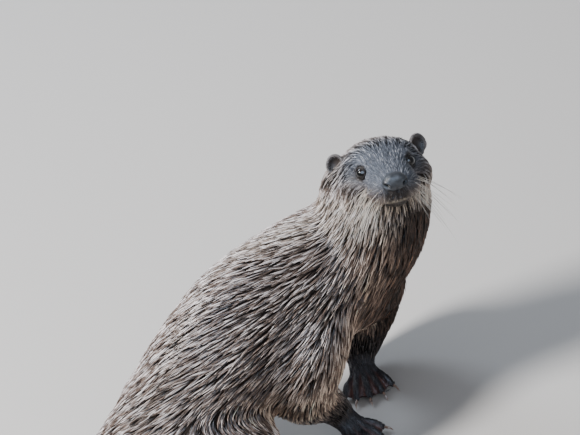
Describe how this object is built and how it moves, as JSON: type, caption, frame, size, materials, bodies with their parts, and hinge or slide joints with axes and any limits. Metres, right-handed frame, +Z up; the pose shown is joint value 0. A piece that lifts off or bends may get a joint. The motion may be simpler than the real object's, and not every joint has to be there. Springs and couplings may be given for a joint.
{
  "type": "eurasian otter model",
  "caption": "Life-size still model of a wet Eurasian otter standing low on its four feet, its head turned to its right and its tapered tail resting on the floor.",
  "frame": {"origin": "on the floor plane, below the middle of the model's bounding box", "axes": "+X from the tail to the chest along the body, +Y to the otter's left, +Z up"},
  "size_m": [0.836, 0.2252, 0.3368],
  "materials": {
    "coat": "wet brown fur in pointed locks",
    "nose": "damp bare skin",
    "eye": "gloss, dark brown",
    "claw": "horn, pale"
  },
  "bodies": {
    "root": {"head": "coat", "neck": "coat", "trunk_front": "coat", "trunk_rear": "coat", "tail_base": "coat", "tail_middle": "coat", "tail_tip": "coat", "foreleg_right": "coat", "foreleg_left": "coat", "hindleg_right": "coat", "hindleg_left": "coat", "forepaw_right": "coat", "forepaw_left": "coat", "hindfoot_right": "coat", "hindfoot_left": "coat", "ear_right": "coat", "ear_left": "coat", "nose": "nose", "eye_right": "eye", "eye_left": "eye", "claw_forepaw_right_1": "claw", "claw_forepaw_right_2": "claw", "claw_forepaw_right_3": "claw", "claw_forepaw_right_4": "claw", "claw_forepaw_right_5": "claw", "claw_forepaw_left_1": "claw", "claw_forepaw_left_2": "claw", "claw_forepaw_left_3": "claw", "claw_forepaw_left_4": "claw", "claw_forepaw_left_5": "claw", "claw_hindfoot_right_1": "claw", "claw_hindfoot_right_2": "claw", "claw_hindfoot_right_3": "claw", "claw_hindfoot_right_4": "claw", "claw_hindfoot_right_5": "claw", "claw_hindfoot_left_1": "claw", "claw_hindfoot_left_2": "claw", "claw_hindfoot_left_3": "claw", "claw_hindfoot_left_4": "claw", "claw_hindfoot_left_5": "claw"}
  },
  "joints": []
}
